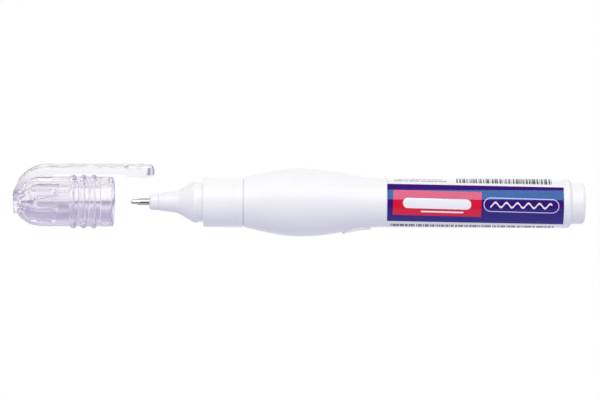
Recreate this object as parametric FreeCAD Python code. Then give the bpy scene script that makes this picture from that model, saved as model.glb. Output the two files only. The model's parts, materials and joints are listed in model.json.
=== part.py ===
"""Squeeze correction pen with its clear cap taken off and held in line above the tip.

The pen stands on its flat tail plug. The Z axis is the axis of the pen, the tail face is at
Z = 0 and the tip points up. The cap's clip points along +X, turned a little towards -Y.
All sizes are in millimetres.
"""
import FreeCAD, Part
import math
import os

# Clearances between pieces
FIT_GAP = 0.02            # pieces that are pressed, snapped or glued together
SEAL_GAP = 0.08           # cap bore over the nose, and cap ring over the snap bead
SLIDE_GAP = 0.03          # tip ball against the crimped rim of the metal tip

# End plug, which closes the tail of the bottle
PLUG_STEP = 0.15          # plug inside the edge of the bottle's tail
PLUG_HEAD = 3.8
PLUG_EDGE = 0.9           # rounding of the tail face
PLUG_FLOOR = 1.5
PLUG_WALL = 1.0
PLUG_SKIRT = 6.5
PLUG_DRAFT = 0.05
PLUG_BEAD = 0.2

# Squeeze bottle
BARREL_R = 6.93
BOTTLE_WALL = 0.9
BARREL_DRAFT = 0.03       # the barrel is this much slimmer at the foot of the bulge
TAIL_LEDGE = 1.13         # thickening of the wall round the opening at the tail
TAIL_FINISH = 3.0         # length of that thick rim
TAIL_INSET = 0.98         # chamfer at the tail, across the barrel
TAIL_CHAMFER = 0.85       # chamfer at the tail, along the barrel
BULGE_R = 9.63
BULGE_RISE = 23.1         # foot of the bulge to its widest place
BULGE_FALL = 15.8         # widest place to the shoulder
SHOULDER_R = 7.12
FOOT_PULL = 7.0           # how far the curve runs on straight at the foot
RISE_PULL = 9.9           # and at the widest place, on the side of the foot
FALL_PULL = 6.5           # and on the side of the shoulder
SHOULDER_PULL = 4.0
SHOULDER_SLOPE = 0.17     # lean of the shoulder at the collar's seam
NECK_STEP = 1.42          # shoulder to neck
NECK_HEIGHT = 8.6
NECK_WALL = 1.0
NECK_BEAD = 0.25          # height of the ring that the nozzle snaps over
NECK_BEAD_Z = 3.0         # above the shoulder
NECK_BEAD_WIDTH = 1.2

# Raised oval moulded on the underside of the bulge
OVAL_RISE = 7.05          # its middle above the foot of the bulge
OVAL_HALF_LENGTH = 4.0
OVAL_HALF_WIDTH = 2.9
OVAL_RIB = 1.3
OVAL_HEIGHT = 0.48

# Film label round the barrel
LABEL_START = 2.5         # above the plug's seam
LABEL_LENGTH = 49.7
LABEL_MARGIN = 1.5        # label to the foot of the bulge
LABEL_FILM = 0.06
LABEL_SEAM = 0.5          # butt gap at the back

# Nozzle: collar, neck, snap bead and cone in one moulding
COLLAR_STEP = 0.04        # collar inside the shoulder of the bottle
COLLAR_DRAFT = 0.05
COLLAR_HEIGHT = 11.5
COLLAR_EDGE = 0.25
GROOVE_WIDTH = 0.3        # dark seam between bottle and collar
GROOVE_DEPTH = 0.4
SEAT_LEDGE = 1.44         # width of the face that the cap seats on
SEAT_NECK = 1.75          # short neck under the snap bead
SNAP_HEIGHT = 0.23        # snap bead, proud of that neck
SNAP_WIDTH = 0.8
CONE_TOP_R = 2.45
CONE_HEIGHT = 10.1        # snap bead to the nose seam
CONE_LEAN = 0.62          # slender part of the cone, wider at its foot
CONE_STEEP = 4.9          # length of the steep part of the cone
CONE_BLEND = 5.0
SKIRT_LENGTH = 3.5        # plug seal inside the bottle's neck
SKIRT_WALL = 0.8
CHANNEL_RISE = 3.4        # straight part of the channel above the seal

# Nose holder, which carries the metal tip
HEAD_STEP = 0.07          # holder inside the edge of the cone
HEAD_HEIGHT = 2.7
HEAD_DRAFT = 0.08
HEAD_EDGE = 0.9
SPIGOT_WALL = 0.53
SPIGOT_LENGTH = 10.5

# Metal tip
TUBE_BORE_R = 0.62
TUBE_WALL = 0.38
TUBE_OUT = 2.7            # straight part that shows in front of the holder
TUBE_TAPER = 0.95
TIP_WALL = 0.15
TIP_LENGTH = 1.35
TIP_EDGE = 0.12
TUBE_IN = 5.5             # length inside the holder
TUBE_FLANGE_WIDTH = 0.24
TUBE_FLANGE = 0.5
RIM_DEPTH = 0.25          # depth of the crimped rim

# Valve: ball, pin, spring and spring seat
BALL_R = 0.5
BALL_SHOWS = 0.32
PIN_GAP = 0.26            # pin inside the metal tip, for the fluid
PIN_FLANGE_GAP = 0.32     # flange inside the chamber, for the fluid
PIN_FLANGE = 0.5
PIN_TAIL_R = 0.5
PIN_TAIL = 1.2
PIN_BACK_GAP = 0.4        # flange to the metal tip
WIRE_R = 0.13
SPRING_GAP = 0.19         # spring inside the chamber
SPRING_TURNS = 6
SEAT_HEIGHT = 0.8
SEAT_BORE_R = 0.45
SEAT_LIP = 0.3            # holder's lip behind the seat

# Loose mixing ball
MIXING_BALL_R = 2.4

# Cap shell
CAP_GAP = 4.8             # tip to the rim of the cap, with the cap off
CAP_LENGTH = 28.35
CAP_STEP = 0.02           # cap proud of the collar
CAP_WALL = 1.2
MOUTH_WALL = 0.95
MOUTH_DEPTH = 3.1
MOUTH_TAPER = 1.25
RIM_CHAMFER = 0.35
SNAP_RING_Z = 1.15        # middle of the snap ring, above the rim
SNAP_RING_WIDTH = 0.9
GRIP_RING_Z = (5.6, 8.5, 11.4)
GRIP_RING_WIDTH = 1.6
GRIP_RING_HEIGHT = 0.6
DOME_HEIGHT = 6.65
DOME_ARC_R = 8.28
CROWN_HEIGHT = 1.2        # dome to the outer face of the end disc
CROWN_R = 3.45
CROWN_EDGE = 0.3
CROWN_WALL = 0.45         # edge of the end disc to the pocket inside it
CROWN_TOP = 1.15          # thickness of the end disc
WINDOW_COUNT = 12
WINDOW_WIDTH = 1.05
WINDOW_HEIGHT = 1.1
WINDOW_DROP = 0.07        # top of the windows below the end of the dome

# Sealing sleeve inside the cap
SLEEVE_LAP = 0.15         # mouth past the seam of the nose, with the cap on
SLEEVE_END_GAP = 0.5      # step in the sleeve to the front of the nose holder
SLEEVE_WALL = 0.8
SLEEVE_TIP_GAP = 0.4      # round the metal tip
SLEEVE_ROOF_GAP = 1.0     # tip ball to the closed end
SLEEVE_ROOF = 0.9
RIB_COUNT = 4
RIB_THICKNESS = 0.8
RIB_RUN = 3.1             # ribs past the start of the dome

# Clip, moulded with the cap
CLIP_TURN = 15.0          # degrees, from +X towards -Y
CLIP_GAP = 1.6            # cap to clip, for a pocket edge
CLIP_WIDTH = 5.2
CLIP_THICKNESS = 1.76
CLIP_ARC_R = 10.18
CLIP_ARC_DROP = 9.85      # end disc to where the arch becomes straight
CLIP_REACH = 11.7         # below the rim
CLIP_NOSE = 1.2           # rounding of the end, seen from the side
BLOCK_LENGTH = 7.65       # thicker end of the clip
BLOCK_STEP = 0.88         # thickening at that end
BLOCK_BLEND = 0.8
BUMP_HEIGHT = 0.38
BUMP_LENGTH = 4.9
BUMP_RAMP = 1.1
WEB_THICKNESS = 1.4
WEB_DROP = 11.15          # end disc to the lower edge of the web

# Radii that follow
BARREL_BORE_R = BARREL_R - BARREL_DRAFT - BOTTLE_WALL
FOOT_R = BARREL_R - BARREL_DRAFT
TAIL_BORE_R = BARREL_BORE_R - TAIL_LEDGE
TAIL_FACE_R = BARREL_R - TAIL_INSET
PLUG_R = TAIL_FACE_R - PLUG_STEP
NECK_R = SHOULDER_R - NECK_STEP
COLLAR_R = SHOULDER_R - COLLAR_STEP
SEAT_NECK_R = COLLAR_R - SEAT_LEDGE
SNAP_R = SEAT_NECK_R + SNAP_HEIGHT
HEAD_R = CONE_TOP_R - HEAD_STEP
TUBE_R = TUBE_BORE_R + TUBE_WALL
BALL_BORE_R = BALL_R + SLIDE_GAP
TIP_R = BALL_BORE_R + TIP_WALL
TUBE_FLANGE_R = TUBE_R + TUBE_FLANGE_WIDTH
CHAMBER_R = TUBE_FLANGE_R + FIT_GAP
SPIGOT_R = CHAMBER_R + SPIGOT_WALL
PIN_R = TUBE_BORE_R - PIN_GAP
PIN_FLANGE_R = CHAMBER_R - PIN_FLANGE_GAP
SPRING_R = CHAMBER_R - SPRING_GAP - WIRE_R
CAP_R = COLLAR_R + CAP_STEP
CAP_BORE_R = CAP_R - CAP_WALL
MOUTH_BORE_R = CAP_R - MOUTH_WALL
CROWN_POCKET_R = CROWN_R - CROWN_WALL
SLEEVE_TIP_R = TUBE_R + SLEEVE_TIP_GAP
CLIP_IN_R = CAP_R + CLIP_GAP
CLIP_R = CLIP_IN_R + CLIP_THICKNESS

# Heights that follow, from the tail face
SEAM_Z = PLUG_HEAD
LABEL_Z = SEAM_Z + LABEL_START
BULGE_FOOT_Z = LABEL_Z + LABEL_LENGTH + LABEL_MARGIN
BULGE_TOP_Z = BULGE_FOOT_Z + BULGE_RISE
SHOULDER_Z = BULGE_TOP_Z + BULGE_FALL
NECK_TOP_Z = SHOULDER_Z + NECK_HEIGHT
COLLAR_TOP_Z = SHOULDER_Z + COLLAR_HEIGHT
SNAP_Z = COLLAR_TOP_Z + SEAT_NECK
CONE_FOOT_Z = SNAP_Z + SNAP_WIDTH
NOSE_Z = CONE_FOOT_Z + CONE_HEIGHT
HEAD_TOP_Z = NOSE_Z + HEAD_HEIGHT
TUBE_BACK_Z = HEAD_TOP_Z - TUBE_IN
RIM_Z = HEAD_TOP_Z + TUBE_OUT + TUBE_TAPER + TIP_LENGTH
BALL_Z = RIM_Z + BALL_SHOWS - BALL_R
FLANGE_TOP_Z = TUBE_BACK_Z - PIN_BACK_GAP
FLANGE_BACK_Z = FLANGE_TOP_Z - PIN_FLANGE
SPIGOT_BACK_Z = NOSE_Z - SPIGOT_LENGTH
SEAT_BACK_Z = SPIGOT_BACK_Z + SEAT_LIP
SEAT_TOP_Z = SEAT_BACK_Z + SEAT_HEIGHT
CAP_RIM_Z = BALL_Z + BALL_R + CAP_GAP
OVAL_Z = BULGE_FOOT_Z + OVAL_RISE

# Heights inside the cap, from its rim
DOME_END = CAP_LENGTH - CROWN_HEIGHT
DOME_START = DOME_END - DOME_HEIGHT
SLEEVE_MOUTH = NOSE_Z - SLEEVE_LAP - COLLAR_TOP_Z
SLEEVE_STEP = HEAD_TOP_Z + SLEEVE_END_GAP - COLLAR_TOP_Z
SLEEVE_ROOF_Z = BALL_Z + BALL_R + SLEEVE_ROOF_GAP - COLLAR_TOP_Z
SLEEVE_TOP = SLEEVE_ROOF_Z + SLEEVE_ROOF
RIB_TOP = DOME_START + RIB_RUN
CLIP_ARC_START = CAP_LENGTH - CLIP_ARC_DROP
WEB_START = CAP_LENGTH - WEB_DROP

ORIGIN = FreeCAD.Vector(0, 0, 0)
UP = FreeCAD.Vector(0, 0, 1)


def at(radius, height):
    """A point of a profile, in the XZ plane."""
    return FreeCAD.Vector(radius, 0, height)


def line(start, end):
    return Part.LineSegment(start, end).toShape()


def arc(start, middle, end):
    return Part.Arc(start, middle, end).toShape()


def round_about(centre_r, centre_z, radius, degrees):
    """The point of a circle in the XZ plane, at an angle from the X axis."""
    turn = math.radians(degrees)
    return at(centre_r + radius * math.cos(turn), centre_z + radius * math.sin(turn))


def outline(corners):
    """Closed straight-sided outline. A corner is (radius, height) or (radius, height, rounding)."""
    points = [at(corner[0], corner[1]) for corner in corners]
    rounding = [corner[2] if len(corner) == 3 else 0 for corner in corners]
    starts = []
    ends = []
    edges = []
    for i, point in enumerate(points):
        before = (points[i - 1] - point).normalize()
        after = (points[(i + 1) % len(points)] - point).normalize()
        half = before.getAngle(after) / 2
        run = rounding[i] / math.tan(half)
        starts.append(point + before * run)
        ends.append(point + after * run)
        if rounding[i]:
            middle = (before + after).normalize()
            depth = rounding[i] / math.sin(half) - rounding[i]
            edges.append(arc(starts[i], point + middle * depth, ends[i]))
    for i in range(len(points)):
        edges.append(line(ends[i - 1], starts[i]))
    return [edge for edge in Part.sortEdges(edges)[0]]


def turned(edges):
    """The solid that a closed profile sweeps round the pen's axis."""
    face = Part.Face(Part.Wire(edges))
    return face.revolve(ORIGIN, UP, 360)


def turned_corners(corners):
    return turned(outline(corners))


def slab(edges, thickness):
    """A closed profile in the XZ plane, given a thickness that is centred on it."""
    face = Part.Face(Part.Wire(edges))
    face.translate(FreeCAD.Vector(0, -thickness / 2, 0))
    return face.extrude(FreeCAD.Vector(0, thickness, 0))


def bulge_curve(wall):
    """Two curves from the foot of the bulge over its widest place to the shoulder, set in by a wall."""
    foot = at(FOOT_R - wall, BULGE_FOOT_Z)
    top = at(BULGE_R - wall, BULGE_TOP_Z)
    shoulder = at(SHOULDER_R - wall, SHOULDER_Z)
    rise = Part.BezierCurve()
    rise.setPoles([foot, foot + at(0, FOOT_PULL), top - at(0, RISE_PULL), top])
    fall = Part.BezierCurve()
    fall.setPoles([top, top + at(0, FALL_PULL),
                   shoulder + at(SHOULDER_SLOPE * SHOULDER_PULL, -SHOULDER_PULL), shoulder])
    return [rise.toShape(), fall.toShape()]


def bulge_body(proud):
    """Solid of revolution of the bulge alone, standing proud of the bottle's surface."""
    foot = at(0, BULGE_FOOT_Z)
    top = at(0, SHOULDER_Z)
    return turned([line(foot, at(FOOT_R + proud, BULGE_FOOT_Z))] + bulge_curve(-proud)
                  + [line(at(SHOULDER_R + proud, SHOULDER_Z), top), line(top, foot)])


def thumb_oval():
    """Low oval rib on the side of the bulge that faces -X."""
    def oval(shrink):
        ellipse = Part.Ellipse(ORIGIN, OVAL_HALF_LENGTH - shrink, OVAL_HALF_WIDTH - shrink)
        disc = Part.Face(Part.Wire(ellipse.toShape()))
        disc.rotate(ORIGIN, FreeCAD.Vector(0, 1, 0), -90)
        disc.translate(FreeCAD.Vector(0, 0, OVAL_Z))
        return disc.extrude(FreeCAD.Vector(-BULGE_R - OVAL_HEIGHT, 0, 0))
    return oval(0).cut(oval(OVAL_RIB)).common(bulge_body(OVAL_HEIGHT)).cut(bulge_body(-BOTTLE_WALL / 2))


def bottle():
    """Blown squeeze body: thick rim at the tail, bulge, shoulder and a neck with a snap ring."""
    finish_z = SEAM_Z + TAIL_FINISH
    bore_z = finish_z + TAIL_LEDGE
    neck_bore_r = NECK_R - NECK_WALL
    under_z = SHOULDER_Z - BOTTLE_WALL
    shoulder_in_r = SHOULDER_R - BOTTLE_WALL
    outer = turned([
        line(at(0, SEAM_Z), at(TAIL_FACE_R, SEAM_Z)),
        line(at(TAIL_FACE_R, SEAM_Z), at(BARREL_R, SEAM_Z + TAIL_CHAMFER)),
        line(at(BARREL_R, SEAM_Z + TAIL_CHAMFER), at(FOOT_R, BULGE_FOOT_Z))]
        + bulge_curve(0)
        + [line(at(SHOULDER_R, SHOULDER_Z), at(0, SHOULDER_Z)), line(at(0, SHOULDER_Z), at(0, SEAM_Z))])
    hollow = turned([
        line(at(0, finish_z), at(TAIL_BORE_R, finish_z)),
        line(at(TAIL_BORE_R, finish_z), at(BARREL_BORE_R, bore_z)),
        line(at(BARREL_BORE_R, bore_z), at(BARREL_BORE_R, BULGE_FOOT_Z))]
        + bulge_curve(BOTTLE_WALL)
        + [line(at(shoulder_in_r, SHOULDER_Z), at(0, SHOULDER_Z)), line(at(0, SHOULDER_Z), at(0, finish_z))])
    lid = turned_corners([(neck_bore_r, under_z), (SHOULDER_R - BOTTLE_WALL / 2, under_z),
                          (SHOULDER_R - BOTTLE_WALL / 2, SHOULDER_Z), (neck_bore_r, SHOULDER_Z)])
    bead_z = SHOULDER_Z + NECK_BEAD_Z
    bead_end_z = bead_z + NECK_BEAD_WIDTH
    neck = turned_corners([
        (neck_bore_r, under_z), (NECK_R, under_z), (NECK_R, bead_z),
        (NECK_R + NECK_BEAD, bead_z + NECK_BEAD), (NECK_R + NECK_BEAD, bead_end_z - NECK_BEAD),
        (NECK_R, bead_end_z), (NECK_R, NECK_TOP_Z, NECK_WALL / 4),
        (neck_bore_r, NECK_TOP_Z, NECK_WALL / 4)])
    tail_bore = Part.makeCylinder(TAIL_BORE_R, TAIL_FINISH, at(0, SEAM_Z), UP)
    body = outer.cut(hollow).cut(tail_bore)
    return body.fuse([lid, neck, thumb_oval()]).removeSplitter()


def end_plug():
    """Hollow plug whose head shows as the flat tail of the pen."""
    skirt_r = TAIL_BORE_R - FIT_GAP
    top_z = SEAM_Z + PLUG_SKIRT
    bead_z = SEAM_Z + TAIL_FINISH + FIT_GAP
    bore_r = skirt_r - PLUG_WALL
    return turned_corners([
        (0, 0), (PLUG_R - PLUG_DRAFT, 0, PLUG_EDGE), (PLUG_R, SEAM_Z), (skirt_r, SEAM_Z),
        (skirt_r, bead_z), (skirt_r + PLUG_BEAD, bead_z + PLUG_BEAD),
        (skirt_r, bead_z + 3 * PLUG_BEAD), (skirt_r, top_z, PLUG_WALL / 3),
        (bore_r, top_z, PLUG_WALL / 3), (bore_r, PLUG_FLOOR, PLUG_WALL / 2), (0, PLUG_FLOOR)])


def mixing_ball():
    """Steel ball that stirs the fluid. It lies on the floor of the plug."""
    return Part.makeSphere(MIXING_BALL_R, at(0, PLUG_FLOOR + MIXING_BALL_R))


def label():
    """Film label, open at its butt seam on the side away from the print."""
    inner_r = BARREL_R + FIT_GAP / 2
    outer_r = inner_r + LABEL_FILM
    end_z = LABEL_Z + LABEL_LENGTH
    sleeve = turned_corners([(inner_r, LABEL_Z), (outer_r, LABEL_Z), (outer_r, end_z), (inner_r, end_z)])
    seam = Part.makeBox(LABEL_SEAM, outer_r, LABEL_LENGTH,
                        FreeCAD.Vector(-LABEL_SEAM / 2, outer_r / 2, LABEL_Z))
    return sleeve.cut(seam)


def nozzle():
    """Collar over the bottle's neck, plug seal, snap bead for the cap and the trumpet cone."""
    bore_r = NECK_R + FIT_GAP
    roof_z = NECK_TOP_Z + FIT_GAP
    skirt_r = NECK_R - NECK_WALL - FIT_GAP
    skirt_end_z = roof_z - SKIRT_LENGTH
    channel_r = skirt_r - SKIRT_WALL
    channel_z = roof_z + CHANNEL_RISE
    socket_r = SPIGOT_R + FIT_GAP
    socket_z = channel_z + channel_r - socket_r
    groove_r = COLLAR_R - GROOVE_DEPTH
    groove_z = SHOULDER_Z + GROOVE_WIDTH
    outer = turned_corners([
        (0, SHOULDER_Z), (groove_r, SHOULDER_Z), (groove_r, groove_z), (COLLAR_R, groove_z),
        (COLLAR_R - COLLAR_DRAFT, COLLAR_TOP_Z, COLLAR_EDGE),
        (SEAT_NECK_R, COLLAR_TOP_Z), (SEAT_NECK_R, SNAP_Z),
        (SNAP_R, SNAP_Z, SNAP_WIDTH / 4), (SNAP_R, CONE_FOOT_Z, SNAP_WIDTH / 3),
        (CONE_TOP_R + CONE_LEAN, CONE_FOOT_Z + CONE_STEEP, CONE_BLEND),
        (CONE_TOP_R, NOSE_Z), (0, NOSE_Z)])
    bead_r = bore_r + NECK_BEAD
    bead_z = SHOULDER_Z + NECK_BEAD_Z - FIT_GAP
    bead_end_z = bead_z + NECK_BEAD_WIDTH + 2 * FIT_GAP
    collar_bore = turned_corners([
        (0, SHOULDER_Z), (bore_r, SHOULDER_Z), (bore_r, bead_z), (bead_r, bead_z + NECK_BEAD),
        (bead_r, bead_end_z - NECK_BEAD), (bore_r, bead_end_z), (bore_r, roof_z), (0, roof_z)])
    skirt = turned_corners([
        (0, skirt_end_z), (skirt_r, skirt_end_z, SKIRT_WALL / 2), (skirt_r, roof_z), (0, roof_z)])
    channel = turned_corners([
        (0, skirt_end_z), (channel_r, skirt_end_z), (channel_r, channel_z),
        (socket_r, socket_z), (socket_r, NOSE_Z), (0, NOSE_Z)])
    return outer.cut(collar_bore).fuse(skirt).cut(channel).removeSplitter()


def nose_holder():
    """Small turned-looking holder: a head in line with the cone and a long spigot behind it."""
    tube_r = TUBE_R + FIT_GAP
    flange_z = TUBE_BACK_Z + TUBE_FLANGE + FIT_GAP
    lip_r = CHAMBER_R - SEAT_LIP
    return turned_corners([
        (lip_r, SPIGOT_BACK_Z), (SPIGOT_R, SPIGOT_BACK_Z, SEAT_LIP), (SPIGOT_R, NOSE_Z),
        (HEAD_R, NOSE_Z), (HEAD_R - HEAD_DRAFT, HEAD_TOP_Z, HEAD_EDGE), (tube_r, HEAD_TOP_Z),
        (tube_r, flange_z), (CHAMBER_R, flange_z), (CHAMBER_R, SEAT_BACK_Z), (lip_r, SEAT_BACK_Z)])


def spring_seat():
    """Ring that the spring pushes back on, with a hole and four notches for the fluid."""
    seat_r = CHAMBER_R - FIT_GAP
    ring = turned_corners([
        (SEAT_BORE_R, SEAT_BACK_Z), (seat_r, SEAT_BACK_Z), (seat_r, SEAT_TOP_Z), (SEAT_BORE_R, SEAT_TOP_Z)])
    notch = Part.makeBox(SEAT_BORE_R, SEAT_BORE_R, SEAT_HEIGHT,
                         FreeCAD.Vector(SEAT_BORE_R / 2, -SEAT_BORE_R / 2, SEAT_BACK_Z))
    notches = []
    for i in range(4):
        cut = notch.copy()
        cut.rotate(ORIGIN, UP, 90 * i)
        notches.append(cut)
    return ring.cut(notches)


def valve_spring():
    """Coil of hexagonal wire section, closed between the seat and the pin's flange."""
    bottom_z = SEAT_TOP_Z + WIRE_R
    height = FLANGE_BACK_Z - WIRE_R - bottom_z
    path = Part.makeHelix(height / SPRING_TURNS, height, SPRING_R)
    path.translate(at(0, bottom_z))
    corners = []
    for i in range(6):
        corners.append(round_about(SPRING_R, bottom_z, WIRE_R, 60 * i))
    section = Part.makePolygon(corners + corners[:1])
    coil = Part.Wire(path.Edges).makePipeShell([section], True, True)
    return Part.Solid(coil) if coil.ShapeType == "Shell" else coil


def valve_pin():
    """Needle that stands on the spring and pushes the ball against the rim."""
    tail_z = FLANGE_BACK_Z - PIN_TAIL
    front_z = BALL_Z - BALL_R - FIT_GAP / 2
    return turned_corners([
        (0, tail_z), (PIN_TAIL_R, tail_z, PIN_TAIL_R / 3), (PIN_TAIL_R, FLANGE_BACK_Z),
        (PIN_FLANGE_R, FLANGE_BACK_Z), (PIN_FLANGE_R, FLANGE_TOP_Z), (PIN_R, FLANGE_TOP_Z),
        (PIN_R, front_z), (0, front_z)])


def tip_ball():
    return Part.makeSphere(BALL_R, at(0, BALL_Z))


def metal_tip():
    """Drawn metal tube with a flange inside the holder and a rim crimped over the ball."""
    taper_z = HEAD_TOP_Z + TUBE_OUT
    tip_z = taper_z + TUBE_TAPER
    rim_r = math.sqrt(BALL_R ** 2 - (BALL_R - BALL_SHOWS) ** 2) + SLIDE_GAP / 2
    seat_z = RIM_Z - RIM_DEPTH
    step_z = tip_z - TUBE_TAPER
    return turned_corners([
        (TUBE_BORE_R, TUBE_BACK_Z), (TUBE_FLANGE_R, TUBE_BACK_Z),
        (TUBE_FLANGE_R, TUBE_BACK_Z + TUBE_FLANGE), (TUBE_R, TUBE_BACK_Z + TUBE_FLANGE),
        (TUBE_R, taper_z, TUBE_R), (TIP_R, tip_z), (TIP_R, RIM_Z, TIP_EDGE), (rim_r, RIM_Z),
        (BALL_BORE_R, seat_z), (BALL_BORE_R, tip_z), (TUBE_BORE_R, step_z)])


def cap_outside():
    """Everything inside the outer skin of the cap, grip rings and dome included."""
    edges = []
    last = at(CAP_R, RIM_CHAMFER)
    edges.append(line(at(0, 0), at(CAP_R - RIM_CHAMFER, 0)))
    edges.append(line(at(CAP_R - RIM_CHAMFER, 0), last))
    for height in GRIP_RING_Z:
        low = at(CAP_R, height - GRIP_RING_WIDTH / 2)
        high = at(CAP_R, height + GRIP_RING_WIDTH / 2)
        edges.append(line(last, low))
        edges.append(arc(low, at(CAP_R + GRIP_RING_HEIGHT, height), high))
        last = high
    centre_r = CAP_R - DOME_ARC_R
    end_turn = math.degrees(math.asin((DOME_END - DOME_START) / DOME_ARC_R))
    dome_foot = at(CAP_R, DOME_START)
    dome_end = round_about(centre_r, DOME_START, DOME_ARC_R, end_turn)
    edges.append(line(last, dome_foot))
    edges.append(arc(dome_foot, round_about(centre_r, DOME_START, DOME_ARC_R, end_turn / 2), dome_end))
    edges.append(line(dome_end, at(0, DOME_END)))
    edges.append(line(at(0, DOME_END), at(0, 0)))
    crown = turned_corners([
        (0, DOME_END), (CROWN_R, DOME_END), (CROWN_R, CAP_LENGTH, CROWN_EDGE), (0, CAP_LENGTH)])
    return turned(edges).fuse(crown)


def cap_hollow():
    """Space inside the cap: stepped mouth with its snap ring, bore, dome and crown pocket."""
    ring_r = SNAP_R + SEAL_GAP
    ring_low = SNAP_RING_Z - SNAP_RING_WIDTH / 2
    ring_high = SNAP_RING_Z + SNAP_RING_WIDTH / 2
    arc_r = DOME_ARC_R - CAP_WALL
    centre_r = CAP_R - DOME_ARC_R
    pocket_low = DOME_START + math.sqrt(arc_r ** 2 - (CROWN_POCKET_R - centre_r) ** 2)
    end_turn = math.degrees(math.asin((pocket_low - DOME_START) / arc_r))
    pocket_top = CAP_LENGTH - CROWN_TOP
    corners = [
        at(0, 0), at(MOUTH_BORE_R + RIM_CHAMFER, 0), at(MOUTH_BORE_R, RIM_CHAMFER),
        at(MOUTH_BORE_R, ring_low), at(ring_r, SNAP_RING_Z), at(MOUTH_BORE_R, ring_high),
        at(MOUTH_BORE_R, MOUTH_DEPTH), at(CAP_BORE_R, MOUTH_DEPTH + MOUTH_TAPER),
        at(CAP_BORE_R, DOME_START)]
    edges = [line(corners[i], corners[i + 1]) for i in range(len(corners) - 1)]
    dome_end = at(CROWN_POCKET_R, pocket_low)
    edges.append(arc(corners[-1], round_about(centre_r, DOME_START, arc_r, end_turn / 2), dome_end))
    edges.append(line(dome_end, at(CROWN_POCKET_R, pocket_top)))
    edges.append(line(at(CROWN_POCKET_R, pocket_top), at(0, pocket_top)))
    edges.append(line(at(0, pocket_top), at(0, 0)))
    return turned(edges)


def cap_sleeve():
    """Sealing sleeve that closes over the nose and the metal tip, open at its mouth."""
    bore_r = CONE_TOP_R + SEAL_GAP
    outer_r = bore_r + SLEEVE_WALL
    tip_outer_r = SLEEVE_TIP_R + SLEEVE_WALL
    step_z = SLEEVE_STEP + SLEEVE_WALL
    return turned_corners([
        (bore_r, SLEEVE_MOUTH, SLEEVE_WALL / 3), (outer_r, SLEEVE_MOUTH, SLEEVE_WALL / 3),
        (outer_r, step_z), (tip_outer_r, step_z + outer_r - tip_outer_r),
        (tip_outer_r, SLEEVE_TOP, SLEEVE_WALL / 2), (0, SLEEVE_TOP), (0, SLEEVE_ROOF_Z),
        (SLEEVE_TIP_R, SLEEVE_ROOF_Z, SLEEVE_WALL / 2), (SLEEVE_TIP_R, SLEEVE_STEP), (bore_r, SLEEVE_STEP)])


def cap_ribs():
    """Radial ribs between the sleeve and the shell, open between them for air."""
    inner_r = SLEEVE_TIP_R + SLEEVE_WALL / 2
    rib = Part.makeBox(CAP_R - inner_r, RIB_THICKNESS, RIB_TOP - SLEEVE_STEP,
                       FreeCAD.Vector(inner_r, -RIB_THICKNESS / 2, SLEEVE_STEP))
    ribs = []
    for i in range(RIB_COUNT):
        turned_rib = rib.copy()
        turned_rib.rotate(ORIGIN, UP, (i + 0.5) * 360 / RIB_COUNT)
        ribs.append(turned_rib)
    return ribs


def cap_windows():
    """Air windows through the dome under the end disc."""
    sill = DOME_END - WINDOW_DROP - WINDOW_HEIGHT
    window = Part.makeBox(CAP_R, WINDOW_WIDTH, WINDOW_HEIGHT,
                          FreeCAD.Vector(CROWN_POCKET_R - CROWN_EDGE, -WINDOW_WIDTH / 2, sill))
    windows = []
    for i in range(WINDOW_COUNT):
        opening = window.copy()
        opening.rotate(ORIGIN, UP, (i + 0.5) * 360 / WINDOW_COUNT)
        windows.append(opening)
    return windows


def clip_arch():
    """Side view of the arch, from the end disc to where the clip runs straight."""
    centre_r = CLIP_R - CLIP_ARC_R
    inner_arc_r = CLIP_ARC_R - CLIP_THICKNESS
    outer_turn = math.degrees(math.asin(CLIP_ARC_DROP / CLIP_ARC_R))
    inner_turn = math.degrees(math.acos((CROWN_R / 2 - centre_r) / inner_arc_r))

    def outer(degrees):
        return round_about(centre_r, CLIP_ARC_START, CLIP_ARC_R, degrees)

    def inner(degrees):
        return round_about(centre_r, CLIP_ARC_START, inner_arc_r, degrees)

    root = at(inner(inner_turn).x, CAP_LENGTH)
    return [arc(outer(outer_turn), outer(outer_turn / 2), outer(0)), line(outer(0), inner(0)),
            arc(inner(0), inner(inner_turn / 2), inner(inner_turn)), line(inner(inner_turn), root),
            line(root, outer(outer_turn))]


def clip_strap():
    """Side view of the straight part, with its thicker end and the bump that grips."""
    end_z = -CLIP_REACH
    block_z = end_z + BLOCK_LENGTH
    block_r = CLIP_IN_R - BLOCK_STEP
    bump_z = end_z + BUMP_LENGTH
    bump_r = block_r - BUMP_HEIGHT
    return outline([
        (CLIP_R, CLIP_ARC_START), (CLIP_R, end_z, CLIP_NOSE), (bump_r, end_z, CLIP_NOSE),
        (bump_r, bump_z - BUMP_RAMP, BUMP_RAMP), (block_r, bump_z, BUMP_RAMP),
        (block_r, block_z, BLOCK_BLEND / 2), (CLIP_IN_R, block_z + BLOCK_BLEND, BLOCK_BLEND / 2),
        (CLIP_IN_R, CLIP_ARC_START)])


def clip():
    """Strap with a round end, and the thin web under its root."""
    half = CLIP_WIDTH / 2
    strap = slab(clip_arch(), CLIP_WIDTH).fuse(slab(clip_strap(), CLIP_WIDTH))
    plan = Part.makeCylinder(half, 2 * CLIP_R, at(0, half - CLIP_REACH), FreeCAD.Vector(1, 0, 0))
    plan = plan.fuse(Part.makeBox(2 * CLIP_R, CLIP_WIDTH, CAP_LENGTH + CLIP_REACH - half,
                                  FreeCAD.Vector(0, -half, half - CLIP_REACH)))
    strap = strap.common(plan.removeSplitter()).removeSplitter()
    web_r = CAP_R - CAP_WALL / 2
    web_out_r = CLIP_IN_R + CLIP_THICKNESS / 2
    web_end = DOME_END - CLIP_THICKNESS
    web = slab(outline([
        (CROWN_R, WEB_START), (web_out_r, WEB_START), (web_out_r, CLIP_ARC_START),
        (web_r, web_end), (CROWN_R, web_end)]), WEB_THICKNESS)
    return strap, web


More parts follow.
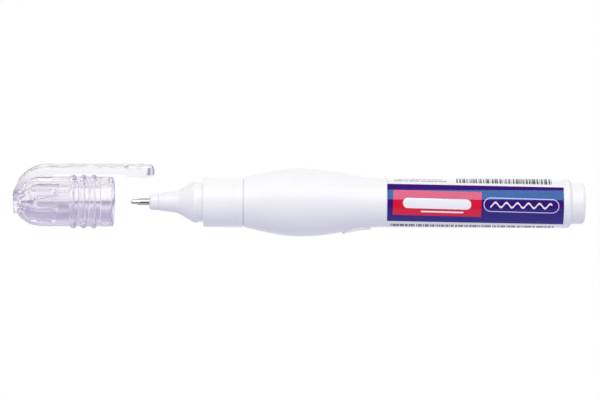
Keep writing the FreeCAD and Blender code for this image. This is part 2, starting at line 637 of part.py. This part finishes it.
def cap():
    """Clear cap in one moulding: shell, end disc, sleeve, ribs, air windows and clip."""
    outside = cap_outside()
    hollow = cap_hollow()
    inner = [cap_sleeve()] + [rib.common(outside) for rib in cap_ribs()]
    shell = outside.cut(hollow).fuse(inner)
    strap, web = clip()
    shell = shell.cut(cap_windows())
    grown = strap.fuse(web).cut(hollow)
    body = shell.fuse(grown).removeSplitter()
    body.rotate(ORIGIN, UP, -CLIP_TURN)
    body.translate(at(0, CAP_RIM_Z))
    return body


def first_solid(shape):
    """The one solid of a shape, so that a boolean's compound isn't what is written."""
    if len(shape.Solids) != 1:
        raise ValueError("expected one solid, found %d" % len(shape.Solids))
    return shape.Solids[0]


PIECES = {
    "end_plug": end_plug,
    "bottle": bottle,
    "mixing_ball": mixing_ball,
    "label": label,
    "nozzle": nozzle,
    "nose_holder": nose_holder,
    "spring_seat": spring_seat,
    "valve_spring": valve_spring,
    "valve_pin": valve_pin,
    "tip_ball": tip_ball,
    "metal_tip": metal_tip,
    "cap": cap,
}

os.makedirs("parts", exist_ok=True)
for name, make in PIECES.items():
    solid = first_solid(make())
    solid.exportStep("parts/%s.step" % name)
    print("%-12s volume %9.3f mm3, valid %s" % (name, solid.Volume, solid.isValid()))
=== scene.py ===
import json
import math

import bmesh
import bpy
from mathutils import Matrix, Vector

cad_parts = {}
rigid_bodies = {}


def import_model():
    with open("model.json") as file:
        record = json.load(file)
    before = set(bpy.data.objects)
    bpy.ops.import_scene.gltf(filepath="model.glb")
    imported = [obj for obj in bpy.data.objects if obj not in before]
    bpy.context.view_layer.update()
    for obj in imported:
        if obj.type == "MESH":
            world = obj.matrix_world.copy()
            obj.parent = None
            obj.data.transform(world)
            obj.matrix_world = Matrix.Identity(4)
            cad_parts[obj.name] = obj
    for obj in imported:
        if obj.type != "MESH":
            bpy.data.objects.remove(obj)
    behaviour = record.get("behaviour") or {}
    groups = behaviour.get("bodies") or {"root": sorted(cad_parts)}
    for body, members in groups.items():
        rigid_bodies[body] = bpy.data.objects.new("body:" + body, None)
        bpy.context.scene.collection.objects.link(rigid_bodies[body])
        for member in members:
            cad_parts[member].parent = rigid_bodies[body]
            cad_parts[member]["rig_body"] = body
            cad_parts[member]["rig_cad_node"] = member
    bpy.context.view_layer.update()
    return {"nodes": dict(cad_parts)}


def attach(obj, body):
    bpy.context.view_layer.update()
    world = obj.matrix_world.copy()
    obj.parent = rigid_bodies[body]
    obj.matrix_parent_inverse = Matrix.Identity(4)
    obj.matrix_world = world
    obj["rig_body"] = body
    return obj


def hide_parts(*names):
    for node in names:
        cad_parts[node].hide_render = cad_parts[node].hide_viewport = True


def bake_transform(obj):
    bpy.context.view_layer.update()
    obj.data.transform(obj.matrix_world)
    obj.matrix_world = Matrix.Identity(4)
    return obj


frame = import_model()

MM = 0.001
WELD = 0.001              # mm within which a solid's loose corners are joined
ARC_STEPS = 5             # rings in the arc of a rounded corner
nodes = frame["nodes"]


# ---- Modelling helpers

def select_only(piece):
    """Leaves one object selected and active, so that an operator acts on nothing else."""
    bpy.ops.object.select_all(action="DESELECT")
    piece.select_set(True)
    bpy.context.view_layer.objects.active = piece


def edit(piece, *steps):
    """Runs edit-mode steps on a whole piece. A step is an operator and its settings."""
    select_only(piece)
    bpy.ops.object.mode_set(mode="EDIT")
    bpy.ops.mesh.select_all(action="SELECT")
    for operator, settings in steps:
        operator(**settings)
    bpy.ops.object.mode_set(mode="OBJECT")


def pick_faces(piece, wanted):
    """In edit mode, selects the faces that pass a test and nothing else."""
    bpy.ops.mesh.select_mode(type="FACE")
    bpy.ops.mesh.select_all(action="DESELECT")
    cage = bmesh.from_edit_mesh(piece.data)
    for face in cage.faces:
        face.select_set(wanted(face))
    bmesh.update_edit_mesh(piece.data)


def smooth_by_angle(piece, degrees):
    """Smooths a piece, but for its edges that are sharper than an angle."""
    select_only(piece)
    bpy.ops.object.shade_smooth_by_angle(angle=math.radians(degrees))


def dress(piece, node, material):
    """Gives a finished piece its material and hides the solid that it stands for."""
    piece.data.materials.clear()
    piece.data.materials.append(material)
    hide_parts(node)


def settle(piece, body, node, material):
    """Dresses a finished piece and lets it ride on its body."""
    dress(piece, node, material)
    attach(piece, body)


def joined_copy(node, name, crease):
    """A copy of a solid with its loose triangles joined, so that light runs evenly over its curves."""
    select_only(nodes[node])
    bpy.ops.object.duplicate()
    piece = bpy.context.view_layer.objects.active
    piece.name = name
    piece.parent = None
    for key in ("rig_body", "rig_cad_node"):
        del piece[key]
    select_only(piece)
    bpy.ops.mesh.customdata_custom_splitnormals_clear()
    edit(piece, (bpy.ops.mesh.remove_doubles, {"threshold": WELD * MM}))
    smooth_by_angle(piece, crease)
    return piece


def rounded(corners):
    """Rings (radius, height) along a profile, with an arc at each corner that has a rounding."""
    rings = []
    for i, corner in enumerate(corners):
        r, z = corner[:2]
        if len(corner) == 2:
            rings.append((r, z))
            continue
        size = corner[2]
        sides = []
        for other in (corners[i - 1], corners[i + 1]):
            length = math.hypot(other[0] - r, other[1] - z)
            sides.append(((other[0] - r) / length, (other[1] - z) / length))
        (ax, az), (bx, bz) = sides
        half = math.acos(max(-1, min(1, ax * bx + az * bz))) / 2
        run = size / math.tan(half)
        mid = math.hypot(ax + bx, az + bz)
        reach = size / math.sin(half)
        centre_r = r + (ax + bx) / mid * reach
        centre_z = z + (az + bz) / mid * reach
        start = math.atan2(z + az * run - centre_z, r + ax * run - centre_r)
        end = math.atan2(z + bz * run - centre_z, r + bx * run - centre_r)
        turn = (end - start + math.pi) % (2 * math.pi) - math.pi
        for step in range(ARC_STEPS + 1):
            angle = start + turn * step / ARC_STEPS
            rings.append((centre_r + size * math.cos(angle), centre_z + size * math.sin(angle)))
    return rings


def turned(name, profile, sides, crease):
    """A round piece, drawn out of a disc one ring at a time along its profile."""
    rings = rounded(profile)
    last_r, last_z = rings[0]
    bpy.ops.object.select_all(action="DESELECT")
    bpy.ops.mesh.primitive_circle_add(vertices=sides, radius=last_r * MM, fill_type="NGON",
                                      location=(0, 0, last_z * MM))
    piece = bpy.context.object
    piece.name = name
    bpy.ops.object.transform_apply()
    bpy.ops.object.mode_set(mode="EDIT")
    bpy.ops.mesh.select_all(action="SELECT")
    for r, z in rings[1:]:
        rise = {"value": (0, 0, (z - last_z) * MM)}
        bpy.ops.mesh.extrude_region_move(TRANSFORM_OT_translate=rise)
        scale = r / last_r
        bpy.ops.transform.resize(value=(scale, scale, 1), center_override=(0, 0, z * MM))
        last_r, last_z = r, z
    bpy.ops.mesh.select_all(action="SELECT")
    bpy.ops.mesh.normals_make_consistent(inside=False)
    bpy.ops.object.mode_set(mode="OBJECT")
    smooth_by_angle(piece, crease)
    return piece


# ---- Material helpers

# A colour Mix node's sockets by number, because its other kinds have the same names.
MIX_SHARE, MIX_FIRST, MIX_SECOND = 0, 6, 7
MIX_RESULT = 2


def rgb(code):
    """Linear colour of an sRGB hex code."""
    parts = [int(code[i:i + 2], 16) / 255 for i in (1, 3, 5)]
    linear = [p / 12.92 if p <= 0.04045 else ((p + 0.055) / 1.055) ** 2.4 for p in parts]
    return (*linear, 1)


def feed(tree, node, inputs):
    """Fills a node's inputs. Each gets a value, an output to link, or a node for its first output."""
    for key, value in inputs.items():
        if isinstance(value, bpy.types.Node):
            value = value.outputs[0]
        if isinstance(value, bpy.types.NodeSocket):
            tree.links.new(value, node.inputs[key])
        else:
            node.inputs[key].default_value = value


def add(tree, kind, inputs=None, stops=(), **settings):
    """Adds a node with its settings, its inputs, and a ramp's stops (position, linear colour)."""
    node = tree.nodes.new(kind)
    for key, value in settings.items():
        setattr(node, key, value)
    feed(tree, node, inputs or {})
    if stops:
        marks = node.color_ramp.elements
        marks[0].position, marks[0].color = stops[0]
        marks[1].position, marks[1].color = stops[-1]
        for position, colour in stops[1:-1]:
            marks.new(position).color = colour
    return node


def finish_named(name, **sockets):
    """A material with one Principled shader, whose plain sockets are set straight away."""
    material = bpy.data.materials.new(name)
    material.use_nodes = True
    shader = material.node_tree.nodes["Principled BSDF"]
    for key, value in sockets.items():
        shader.inputs[key.replace("_", " ")].default_value = value
    return material, material.node_tree, shader


def object_mm(tree):
    """Object coordinates in millimetres."""
    place = add(tree, "ShaderNodeTexCoord")
    return add(tree, "ShaderNodeVectorMath", {0: place.outputs["Object"], "Scale": 1 / MM},
               operation="SCALE")


# ---- Plastics

PLASTIC_WHITE = "#f6f6f7"
PLASTIC_SHADE = "#f3f3f5"
DRIFT_MM = 14             # across a patch where the white drifts to its shade
GLOSS_SPREAD = 0.15       # share by which the roughness of a skin goes up and down


def moulded(name, grain_mm, skin_mm, **sockets):
    """Moulded plastic: a breath of colour drift, uneven gloss and a faint skin on the surface."""
    material, tree, shader = finish_named(name, **sockets)
    place = object_mm(tree)
    drift = add(tree, "ShaderNodeTexNoise", {"Vector": place, "Scale": 1 / DRIFT_MM, "Detail": 2.0})
    tint = add(tree, "ShaderNodeValToRGB", {"Fac": drift},
               stops=((0.35, rgb(PLASTIC_WHITE)), (0.65, rgb(PLASTIC_SHADE))))
    grain = add(tree, "ShaderNodeTexNoise", {"Vector": place, "Scale": 1 / grain_mm, "Detail": 3.0})
    rough = shader.inputs["Roughness"].default_value
    gloss = add(tree, "ShaderNodeMapRange", {"Value": grain, "From Min": 0.3, "From Max": 0.7,
                                             "To Min": rough * (1 - GLOSS_SPREAD),
                                             "To Max": rough * (1 + GLOSS_SPREAD)})
    skin = add(tree, "ShaderNodeBump", {"Strength": 0.4, "Distance": skin_mm * MM, "Height": grain})
    feed(tree, shader, {"Base Color": tint, "Roughness": gloss, "Normal": skin})
    return material


# Polyethylene, blown into a soft squeeze wall: white, a little waxy, with a broad soft gloss.
blown_polyethylene = moulded(
    "blown_polyethylene", grain_mm=1.6, skin_mm=0.008,
    Roughness=0.36, IOR=1.51, Specular_IOR_Level=0.25, Subsurface_Weight=0.12, Subsurface_Scale=0.0012,
    Subsurface_Radius=(1.0, 0.9, 1.0))

# Polypropylene, injection moulded: the same white, harder and a little glossier.
moulded_polypropylene = moulded(
    "moulded_polypropylene", grain_mm=0.9, skin_mm=0.003,
    Roughness=0.3, IOR=1.49, Specular_IOR_Level=0.25, Subsurface_Weight=0.08, Subsurface_Scale=0.001,
    Subsurface_Radius=(1.0, 0.9, 1.0))

FLOW_MM = 5               # between the ripples that the melt leaves in a clear wall
CAUGHT_AFTER = 3.5        # mirrorings after which a ray is caught in the clear plastic
PAINTED_GLOW_STRENGTH = 0.34        # strength of the painted glow that stands in for the caught light

# Clear polystyrene, injection moulded: glassy and faintly lilac, with a painted lilac glow in its thick
# corners.
clear_polystyrene, tree, shader = finish_named(
    "clear_polystyrene", Base_Color=rgb("#fefdff"), Roughness=0.02, IOR=1.45,
    Transmission_Weight=0.95, Emission_Color=rgb("#cbc3ea"))
flow = add(tree, "ShaderNodeTexNoise", {"Vector": object_mm(tree), "Scale": 1 / FLOW_MM, "Detail": 1.0})
ripple = add(tree, "ShaderNodeBump", {"Strength": 0.25, "Distance": 0.05 * MM, "Height": flow})
# The render ends a ray of many mirrorings in black: in its place, thick corners get a painted lilac glow
# that stands in for light.
path = add(tree, "ShaderNodeLightPath")
caught = add(tree, "ShaderNodeMath", {0: path.outputs["Glossy Depth"], 1: CAUGHT_AFTER},
             operation="GREATER_THAN")
painted_glow = add(tree, "ShaderNodeMath", {0: caught, 1: PAINTED_GLOW_STRENGTH}, operation="MULTIPLY")
feed(tree, shader, {"Normal": ripple, "Emission Strength": painted_glow})

# ---- Metals

LINE_SPREAD = 0.4         # share by which the roughness of drawn metal goes up and down


def drawn_metal(name, colour, roughness, ring_mm):
    """Metal with fine lines that run round the axis, from turning or drawing."""
    material, tree, shader = finish_named(name, Base_Color=rgb(colour), Metallic=1.0,
                                          Roughness=roughness)
    place = add(tree, "ShaderNodeSeparateXYZ", {"Vector": object_mm(tree)})
    lines = add(tree, "ShaderNodeTexNoise", {"W": place.outputs["Z"], "Scale": 1 / ring_mm,
                                             "Detail": 2.0}, noise_dimensions="1D")
    gloss = add(tree, "ShaderNodeMapRange", {"Value": lines, "To Min": roughness * (1 - LINE_SPREAD),
                                             "To Max": roughness * (1 + LINE_SPREAD)})
    groove = add(tree, "ShaderNodeBump", {"Strength": 0.2, "Distance": 0.002 * MM, "Height": lines})
    feed(tree, shader, {"Roughness": gloss, "Normal": groove})
    return material


# Nickel silver, drawn and polished: bright, nearly neutral, with a mirror's contrast.
polished_nickel_silver = drawn_metal("polished_nickel_silver", "#d4d3d1", roughness=0.02, ring_mm=0.08)
# Carbide, ground to a ball: pale and clean.
ground_carbide = drawn_metal("ground_carbide", "#cfd0d3", roughness=0.16, ring_mm=0.05)
# Spring steel, drawn to wire and turned to a pin: greyer and duller.
drawn_steel = drawn_metal("drawn_steel", "#a9aaae", roughness=0.3, ring_mm=0.1)

# ---- Printed film

LABEL_R = 7.0             # sizes in mm
LABEL_LOW = 6.3
LABEL_TOP = 56.0
LABEL_SKEW = 0.0246       # the film went on 1.4 degrees askew
LABEL_SIDES = 88          # so that one side of the ring is as wide as the open seam
SEAM_REACH = 0.1          # mm from the middle of the back, where only the seam's side has its centre
FILM_THICKNESS = 0.06
FILM_RIPPLE_MM = 3
# Inks: a violet band, with a red panel and a pale outlined lozenge on it.
FILM_WHITE = "#f7f7f8"
PRINT_WHITE = "#fbfafd"
LOZENGE_WHITE = "#d9cdf0"
VIOLET = "#3d1878"
RED = "#e41a3a"
UNTINTED = "#ffffff"
# painted blue tint for the gloss over the violet band, standing in for the bluish light it mirrors
PAINTED_BLUE_GLOSS = "#5cd4ff"
PRINT_EDGE = 0.03         # mm on both sides of an edge, over which ink fades
# Shapes in mm: from and to round the barrel, where 0 faces -Y, then from and to in height.
BAND = (-5.72, 6.18, 5.0, 57.0)
PANEL = (-3.45, 3.92, 29.5, 54.4)
LOZENGE = (-1.6, 2.25, 7.7, 28.8)
WAVE_BOX = (-1.2, 1.8, 9.6, 27.0)
# The bars on the panel have the rounding of their corners as well.
PANEL_BARS = ((-1.3, 1.6, 32.4, 51.6, 1.4), (-2.4, -1.95, 34.5, 46.5, 0.2))
SQUARE, CRISP, SOFT = 0.0, 0.05, 0.4      # roundings of the other shapes' corners
LOZENGE_LINE = 0.26
WAVE_LENGTH = 3.1
WAVE_HEIGHT = 0.65
WAVE_LINE = 0.55
# Rows of small print: the shape, stroke length, share inked, seed and tone.
SMALL_PRINT = (
    ((7.6, 8.1, 39.4, 54.2), 0.55, 0.62, 3.0, "#8f8d9a"),
    ((8.6, 9.1, 40.5, 54.2), 0.55, 0.62, 17.0, "#8f8d9a"),
    ((7.2, 15.0, 9.7, 36.8), 0.42, 0.52, 31.0, "#4d4e5a"),
    ((-8.6, -6.95, 8.6, 55.0), 0.5, 0.58, 47.0, "#41424e"),
)
STROKE_EDGE = 0.02        # share of the ink over which a stroke of small print fades


def printed_film():
    """White film, printed and gloss laminated: flat strong colours under a sharp clear gloss."""
    material, tree, shader = finish_named(
        "laminated_film", Roughness=0.05, IOR=1.5, Specular_IOR_Level=0.9)
    place = add(tree, "ShaderNodeSeparateXYZ", {"Vector": object_mm(tree)})
    front = add(tree, "ShaderNodeMath", {0: place.outputs["Y"], 1: -1.0}, operation="MULTIPLY")
    turn = add(tree, "ShaderNodeMath", {0: place.outputs["X"], 1: front}, operation="ARCTAN2")
    drop = add(tree, "ShaderNodeMath", {0: LABEL_TOP, 1: place.outputs["Z"]}, operation="SUBTRACT")
    askew = add(tree, "ShaderNodeMath", {0: drop, 1: LABEL_SKEW}, operation="MULTIPLY")
    across = add(tree, "ShaderNodeMath", {0: turn, 1: LABEL_R, 2: askew}, operation="MULTIPLY_ADD")
    along = add(tree, "ShaderNodeMath", {0: turn, 1: LABEL_R * LABEL_SKEW, 2: place.outputs["Z"]},
                operation="MULTIPLY_ADD")
    flat = add(tree, "ShaderNodeCombineXYZ", {"X": across, "Y": along})

    def reach(shape, corner):
        """Distance outside a rounded rectangle, in mm. Inside it is negative."""
        low_u, high_u, low_z, high_z = shape
        middle = ((low_u + high_u) / 2, (low_z + high_z) / 2, 0)
        half = ((high_u - low_u) / 2 - corner, (high_z - low_z) / 2 - corner, 0)
        past = add(tree, "ShaderNodeVectorMath", {0: flat, 1: middle}, operation="SUBTRACT")
        past = add(tree, "ShaderNodeVectorMath", {0: past}, operation="ABSOLUTE")
        past = add(tree, "ShaderNodeVectorMath", {0: past, 1: half}, operation="SUBTRACT")
        beyond = add(tree, "ShaderNodeVectorMath", {0: past, 1: (0, 0, 0)}, operation="MAXIMUM")
        outside = add(tree, "ShaderNodeVectorMath", {0: beyond}, operation="LENGTH")
        past = add(tree, "ShaderNodeSeparateXYZ", {"Vector": past})
        inside = add(tree, "ShaderNodeMath", {0: past.outputs["X"], 1: past.outputs["Y"]},
                     operation="MAXIMUM")
        inside = add(tree, "ShaderNodeMath", {0: inside, 1: 0.0}, operation="MINIMUM")
        either = add(tree, "ShaderNodeMath", {0: outside.outputs["Value"], 1: inside}, operation="ADD")
        return add(tree, "ShaderNodeMath", {0: either, 1: corner}, operation="SUBTRACT")

    def ink(distance):
        """1 inside a shape and 0 outside, with an edge as soft as print is."""
        return add(tree, "ShaderNodeMapRange", {"Value": distance, "From Min": PRINT_EDGE,
                                                "From Max": -PRINT_EDGE})

    def print_over(under, mask, colour):
        """The colour so far with one more ink on it, where its mask is 1."""
        inked = add(tree, "ShaderNodeMix", {MIX_SHARE: mask, MIX_FIRST: under, MIX_SECOND: rgb(colour)},
                    data_type="RGBA")
        return inked.outputs[MIX_RESULT]

    def strokes(length, share, seed):
        """Uneven strokes along the label, in the place of small print."""
        shifted = add(tree, "ShaderNodeMath", {0: along, 1: seed}, operation="ADD")
        wave = add(tree, "ShaderNodeTexNoise", {"W": shifted, "Scale": 1 / length, "Detail": 1.0},
                   noise_dimensions="1D")
        return add(tree, "ShaderNodeMapRange", {"Value": wave, "From Min": 1 - share - STROKE_EDGE,
                                                "From Max": 1 - share + STROKE_EDGE})

    colour = rgb(FILM_WHITE)
    for shape, length, share, seed, tone in SMALL_PRINT:
        row = add(tree, "ShaderNodeMath", {0: ink(reach(shape, CRISP)), 1: strokes(length, share, seed)},
                  operation="MULTIPLY")
        colour = print_over(colour, row, tone)
    band = ink(reach(BAND, SQUARE))
    colour = print_over(colour, band, VIOLET)
    colour = print_over(colour, ink(reach(PANEL, CRISP)), RED)
    for *shape, corner in PANEL_BARS:
        colour = print_over(colour, ink(reach(shape, corner)), PRINT_WHITE)

    # The lozenge is a line on both sides of its edge.
    edge = add(tree, "ShaderNodeMath", {0: reach(LOZENGE, (LOZENGE[1] - LOZENGE[0]) / 2)},
               operation="ABSOLUTE")
    ring = add(tree, "ShaderNodeMath", {0: edge, 1: LOZENGE_LINE / 2}, operation="SUBTRACT")
    colour = print_over(colour, ink(ring), LOZENGE_WHITE)

    # The wave in it is a sine along the label, cut off by its box.
    phase = add(tree, "ShaderNodeMath", {0: along, 1: 2 * math.pi / WAVE_LENGTH}, operation="MULTIPLY")
    sine = add(tree, "ShaderNodeMath", {0: phase}, operation="SINE")
    wave = add(tree, "ShaderNodeMath", {0: sine, 1: WAVE_HEIGHT}, operation="MULTIPLY")
    off = add(tree, "ShaderNodeMath", {0: across, 1: (LOZENGE[0] + LOZENGE[1]) / 2},
              operation="SUBTRACT")
    off = add(tree, "ShaderNodeMath", {0: off, 1: wave}, operation="SUBTRACT")
    off = add(tree, "ShaderNodeMath", {0: off}, operation="ABSOLUTE")
    line = add(tree, "ShaderNodeMath", {0: off, 1: WAVE_LINE / 2}, operation="SUBTRACT")
    cut = add(tree, "ShaderNodeMath", {0: line, 1: reach(WAVE_BOX, SOFT)}, operation="MAXIMUM")
    colour = print_over(colour, ink(cut), PRINT_WHITE)

    # Over the violet band the gloss has a painted blue tint, which stands in for the bluish light that
    # it mirrors.
    painted_blue_gloss_tint = print_over(rgb(UNTINTED), band, PAINTED_BLUE_GLOSS)
    film = add(tree, "ShaderNodeTexNoise", {"Vector": object_mm(tree), "Scale": 1 / FILM_RIPPLE_MM,
                                            "Detail": 1.0})
    ripple = add(tree, "ShaderNodeBump", {"Strength": 0.3, "Distance": 0.02 * MM, "Height": film})
    feed(tree, shader, {"Base Color": colour, "Specular Tint": painted_blue_gloss_tint, "Normal": ripple})
    return material


# ---- Pieces. A profile is (radius, height) in mm, with a rounding where its corner has one.

settle(joined_copy("bottle", "squeeze_bottle", crease=32), "pen", "bottle",
       blown_polyethylene)
settle(joined_copy("nozzle", "collar_and_cone", crease=28), "pen", "nozzle",
       moulded_polypropylene)

# Nose holder: the head shows in line with the cone, its spigot runs on inside it.
NOSE_PROFILE = ((1.79, 110.05), (1.79, 120.55), (2.2, 120.55), (2.38, 120.73), (2.3, 123.25, 0.9),
                (1.02, 123.25), (1.02, 122.4))
settle(turned("nose_holder_head", NOSE_PROFILE, sides=96, crease=30), "pen", "nose_holder",
       moulded_polypropylene)

# Tail plug, with the round edge of the tail face and the skirt inside the bottle.
PLUG_PROFILE = ((0.4, 0.0), (5.75, 0.0, 0.9), (5.8, 3.8), (4.85, 3.8), (4.85, 10.3, 0.33),
                (3.85, 10.3, 0.33), (3.85, 1.5))
settle(turned("tail_plug", PLUG_PROFILE, sides=128, crease=30), "pen", "end_plug",
       moulded_polypropylene)

# Metal tip: straight tube, taper, and the rim crimped over the ball.
TIP_PROFILE = ((1.24, 117.75), (1.24, 118.25), (1.0, 118.25), (1.0, 125.95, 1.0), (0.68, 126.9),
               (0.68, 128.25, 0.12), (0.48, 128.25), (0.53, 128.0), (0.53, 126.9))
settle(turned("writing_tip", TIP_PROFILE, sides=64, crease=40), "pen", "metal_tip",
       polished_nickel_silver)
settle(joined_copy("tip_ball", "writing_ball", crease=60), "valve", "tip_ball",
       ground_carbide)


def at_the_seam(face):
    """True for the one side of the label's ring that is the open seam at the back."""
    middle = face.calc_center_median()
    return middle.y > 0 and abs(middle.x) < SEAM_REACH * MM


# Label: one turn of film with its open seam at the back, thickened inwards from the printed face.
bpy.ops.object.select_all(action="DESELECT")
bpy.ops.mesh.primitive_circle_add(vertices=LABEL_SIDES, radius=LABEL_R * MM, fill_type="NOTHING",
                                  location=(0, 0, LABEL_LOW * MM),
                                  rotation=(0, 0, math.pi / LABEL_SIDES))
label = bpy.context.object
label.name = "printed_label"
bpy.ops.object.transform_apply()
edit(label, (bpy.ops.mesh.extrude_region_move,
             {"TRANSFORM_OT_translate": {"value": (0, 0, (LABEL_TOP - LABEL_LOW) * MM)}}))
bpy.ops.object.mode_set(mode="EDIT")
pick_faces(label, at_the_seam)
bpy.ops.mesh.delete(type="FACE")
bpy.ops.mesh.select_all(action="SELECT")
bpy.ops.mesh.normals_make_consistent(inside=False)
bpy.ops.object.mode_set(mode="OBJECT")
solid = label.modifiers.new("film", "SOLIDIFY")
solid.thickness = FILM_THICKNESS * MM
solid.offset = -1
bpy.ops.object.modifier_apply(modifier="film")
smooth_by_angle(label, degrees=30)
settle(label, "pen", "label", printed_film())

settle(joined_copy("cap", "clear_cap", crease=30), "cap", "cap", clear_polystyrene)

# Valve spring: its foot stays on the seat. It rides on no body.
coils = joined_copy("valve_spring", "closing_spring", crease=60)
dress(coils, "valve_spring", drawn_steel)
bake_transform(coils)

# Inner pieces, which keep their own solids.
for node, material in (("mixing_ball", drawn_steel), ("valve_pin", drawn_steel),
                       ("spring_seat", moulded_polypropylene)):
    nodes[node].data.materials.clear()
    nodes[node].data.materials.append(material)

# ---- The studio round the pen. Rows are a position on a ramp and linear red, green and blue.

WHITE = (1, 1, 1, 1)
# What gloss sees round the axis, from the back past -X, the front and +X to the back again: white
# behind, lilac below, and a dark room in front and above.
ROOM = (
    (0.0, 1, 1, 1), (0.14, 0.95, 0.95, 0.95), (0.19, 0.6, 0.57, 0.78), (0.31, 0.55, 0.5225, 0.715),
    (0.4, 0.38, 0.38, 0.38), (0.43, 0.25, 0.25, 0.25), (0.445, 0.02, 0.02, 0.02),
    (0.54, 0.02, 0.02, 0.02), (0.8, 0.05, 0.05, 0.05), (0.83, 0.12, 0.12, 0.12),
    (0.87, 0.9, 0.9, 0.9), (1.0, 1, 1, 1))
# Towards the ends the room is pale, so that flat ends don't mirror the dark side.
ENDS_FROM, ENDS_FULL = 0.12, 0.3
END_GREY = (0.5, 0.5, 0.5, 1)
# What clear plastic lets through, from -X up to +X: lilac below the axis and white above it.
THROUGH = (
    (0.0, 0.8, 0.78, 0.86), (0.3, 0.64, 0.6, 0.76), (0.4, 0.46, 0.42, 0.59),
    (0.435, 0.39, 0.355, 0.56), (0.465, 0.43, 0.39, 0.6), (0.478, 0.5, 0.46, 0.66),
    (0.484, 0.78, 0.75, 0.87), (0.491, 0.78, 0.75, 0.87), (0.4935, 0.3, 0.27, 0.42),
    (0.5015, 0.3, 0.27, 0.42), (0.5038, 0.99, 0.975, 0.985), (0.563, 0.99, 0.965, 0.98),
    (0.569, 0.62, 0.58, 0.68), (0.577, 0.62, 0.58, 0.68), (0.585, 0.9, 0.87, 0.92),
    (0.64, 1.0, 0.99, 0.995), (0.75, 0.99, 0.98, 0.99), (0.83, 0.84, 0.815, 0.88),
    (1.0, 0.7, 0.68, 0.78))
# What lights the dull surfaces: lilac from below the axis and warm white from above it.
AMBIENT = ((0.0, 0.45, 0.45, 0.63), (1.0, 0.92, 0.91, 0.87))


def linear_stops(rows):
    """Ramp stops from rows of light levels."""
    return [(position, (*level, 1)) for position, *level in rows]


world = bpy.data.worlds.new("studio")
bpy.context.scene.world = world
world.use_nodes = True
tree = world.node_tree
look = add(tree, "ShaderNodeTexCoord")
way = add(tree, "ShaderNodeSeparateXYZ", {"Vector": look.outputs["Generated"]})
front = add(tree, "ShaderNodeMath", {0: way.outputs["Y"], 1: -1.0}, operation="MULTIPLY")
bearing = add(tree, "ShaderNodeMath", {0: way.outputs["X"], 1: front}, operation="ARCTAN2")
round_axis = add(tree, "ShaderNodeMapRange", {"Value": bearing, "From Min": -math.pi,
                                              "From Max": math.pi})
room = add(tree, "ShaderNodeValToRGB", {"Fac": round_axis}, stops=linear_stops(ROOM))
steep = add(tree, "ShaderNodeMath", {0: way.outputs["Z"]}, operation="ABSOLUTE")
ends = add(tree, "ShaderNodeMapRange", {"Value": steep, "From Min": ENDS_FROM, "From Max": ENDS_FULL})
mirrored = add(tree, "ShaderNodeMix", {MIX_SHARE: ends, MIX_FIRST: room, MIX_SECOND: END_GREY},
               data_type="RGBA")
tilt = add(tree, "ShaderNodeMapRange", {"Value": way.outputs["X"], "From Min": -1.0, "From Max": 1.0})
through = add(tree, "ShaderNodeValToRGB", {"Fac": tilt}, stops=linear_stops(THROUGH))
ambient = add(tree, "ShaderNodeValToRGB", {"Fac": tilt}, stops=linear_stops(AMBIENT))
# The wall behind the pen is white.
dull = add(tree, "ShaderNodeMix", {MIX_SHARE: way.outputs["Y"], MIX_FIRST: ambient,
                                   MIX_SECOND: WHITE}, data_type="RGBA")
ray = add(tree, "ShaderNodeLightPath")
seen = dull.outputs[MIX_RESULT]
for rays, colour in (("Is Glossy Ray", mirrored.outputs[MIX_RESULT]), ("Is Transmission Ray", through),
                     ("Is Camera Ray", WHITE)):
    seen = add(tree, "ShaderNodeMix", {MIX_SHARE: ray.outputs[rays], MIX_FIRST: seen,
                                       MIX_SECOND: colour}, data_type="RGBA").outputs[MIX_RESULT]
feed(tree, tree.nodes["Background"], {"Color": seen})

# ---- Lamps and camera. Distances are in metres, but for the pen's own in mm.

PEN_MIDDLE = 80.57
LAMP_DISTANCE = 0.7
LAMP_HEIGHT = 1.3


def softbox(name, bearing, width, radiance, colour, unseen_by):
    """An upright lamp that faces the pen, at a bearing from -Y towards +X, unseen by some rays."""
    lamp = bpy.data.lights.new(name, "AREA")
    lamp.shape = "RECTANGLE"
    lamp.size = width
    lamp.size_y = LAMP_HEIGHT
    lamp.energy = radiance * math.pi * width * LAMP_HEIGHT
    lamp.color = colour
    lit = bpy.data.objects.new(name, lamp)
    bpy.context.scene.collection.objects.link(lit)
    turn = math.radians(bearing)
    right = Vector((math.cos(turn), math.sin(turn), 0))
    back = Vector((math.sin(turn), -math.cos(turn), 0))
    facing = Matrix((right, (0, 0, 1), back)).transposed()
    place = back * LAMP_DISTANCE + Vector((0, 0, PEN_MIDDLE * MM))
    lit.matrix_world = Matrix.Translation(place) @ facing.to_4x4()
    for rays in unseen_by:
        setattr(lit, "visible_" + rays, False)


softbox("key_softbox", bearing=26, width=0.84, radiance=0.72, colour=(1.0, 0.985, 0.96),
        unseen_by=("camera", "glossy"))
# The window light that gloss shows as a sharp bluish band.
softbox("window_softbox", bearing=40, width=0.62, radiance=3.2, colour=(0.95, 0.98, 1.0),
        unseen_by=("camera", "diffuse", "transmission"))
# Light on the back, as from the white wall.
softbox("fill_softbox", bearing=206, width=0.84, radiance=0.5, colour=(1.0, 1.0, 1.0),
        unseen_by=("camera", "glossy", "transmission"))

CAMERA_DISTANCE = 0.88
CAMERA_RISE = 0.68        # mm towards +X, between the axes of the pen and of the cap in the photo
CAMERA_ROLL = 0.25        # degrees, because the tip end is a little higher in the photo
camera = bpy.data.cameras.new("camera")
camera.lens = 186.24
camera.sensor_width = 36
camera.clip_end = 20
viewer = bpy.data.objects.new("camera", camera)
bpy.context.scene.collection.objects.link(viewer)
# The picture's right is the pen's tail and its top is +X.
upright = Matrix(((0, 1, 0), (0, 0, -1), (-1, 0, 0)))
viewer.matrix_world = Matrix.Translation((CAMERA_RISE * MM, -CAMERA_DISTANCE, PEN_MIDDLE * MM)) \
    @ upright.to_4x4() @ Matrix.Rotation(math.radians(CAMERA_ROLL), 4, "Z")
bpy.context.scene.camera = viewer
bpy.context.scene.view_settings.view_transform = "Standard"
